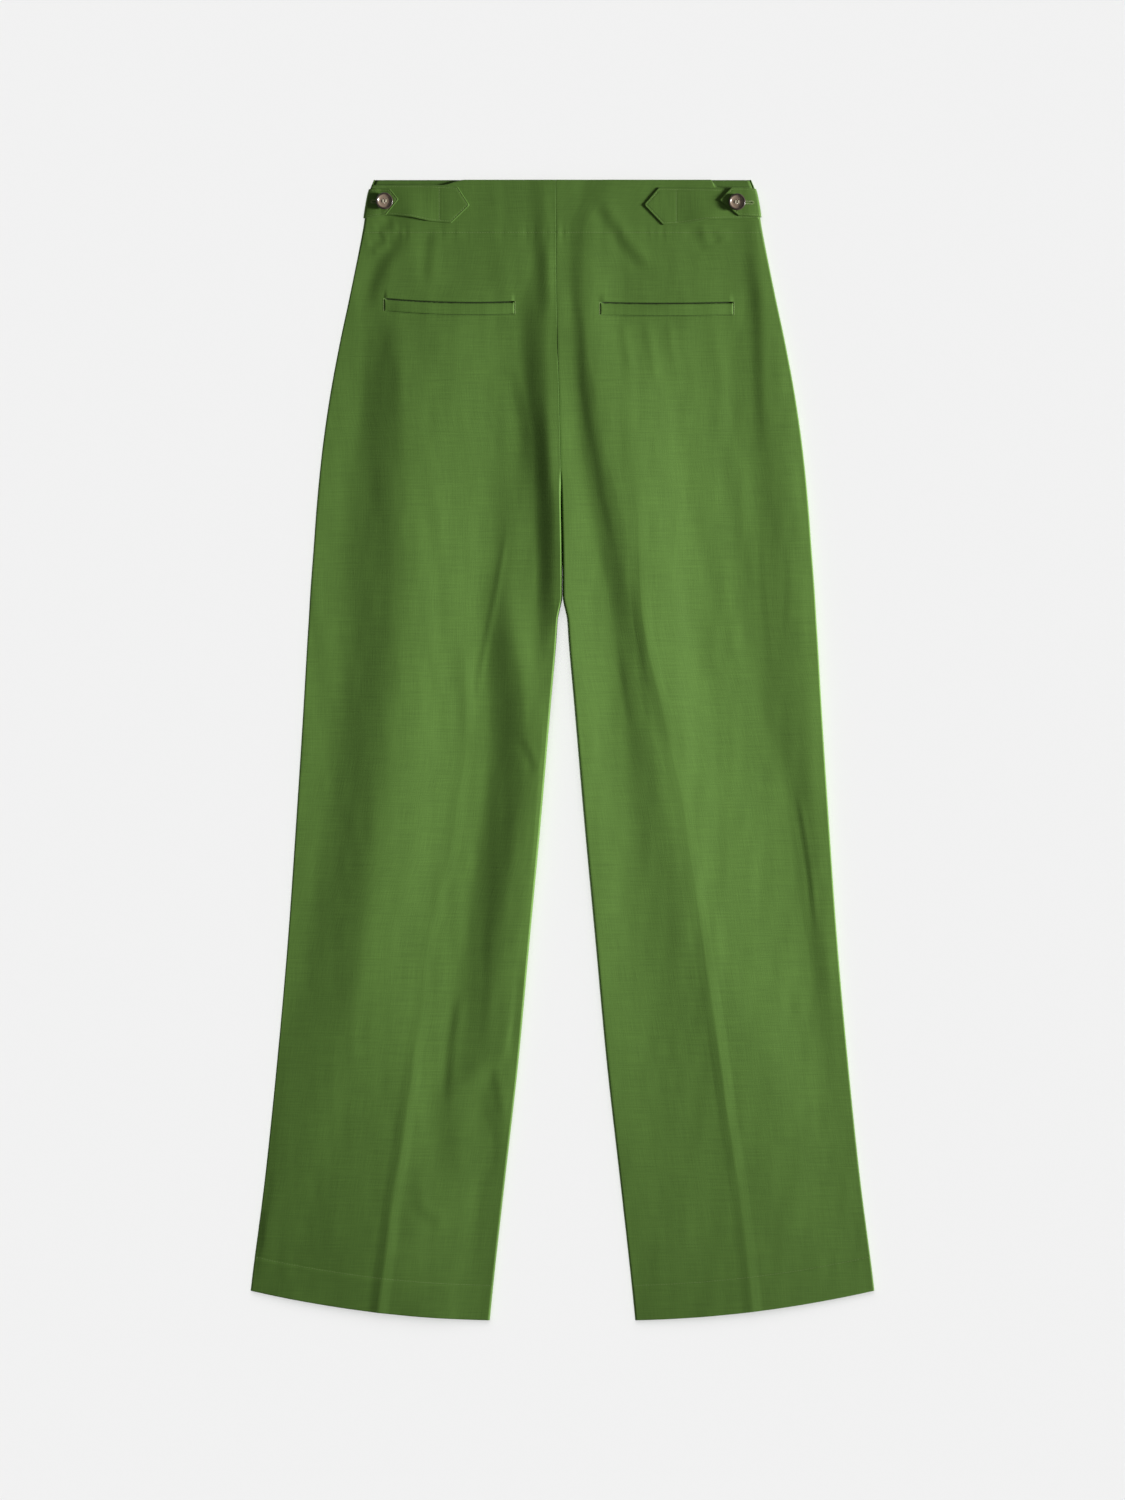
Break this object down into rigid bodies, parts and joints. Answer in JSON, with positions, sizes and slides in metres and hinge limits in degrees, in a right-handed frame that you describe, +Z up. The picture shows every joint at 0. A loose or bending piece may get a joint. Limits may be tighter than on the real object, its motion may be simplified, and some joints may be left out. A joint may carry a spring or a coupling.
{
  "type": "wide-leg trousers",
  "caption": "High-waisted wide-leg trousers laid flat with their back up, with pressed creases, welt pockets and buttoned waist adjusters.",
  "frame": {"origin": "middle of the underside's box, on the surface that the trousers lie on", "axes": "+X to the wearer's right, +Y along the trousers from the hems to the waist, +Z up, out of their back"},
  "size_m": [0.5908, 1.08, 0.0127],
  "materials": {
    "cloth": "matt linen-look plain weave with slubs",
    "facing": "matt linen-look plain weave, inner side",
    "horn": "polished horn look, dark brown with a paler middle"
  },
  "bodies": {
    "root": {"back_leg_left": "cloth", "back_leg_right": "cloth", "front_leg_left": "cloth", "front_leg_right": "cloth", "front_facing_left": "facing", "front_facing_right": "facing", "pocket_welt_left": "cloth", "pocket_welt_right": "cloth", "adjuster_strap_left": "cloth", "adjuster_strap_right": "cloth", "adjuster_tab_left": "cloth", "adjuster_tab_right": "cloth", "button_left": "horn", "button_right": "horn"}
  },
  "joints": []
}
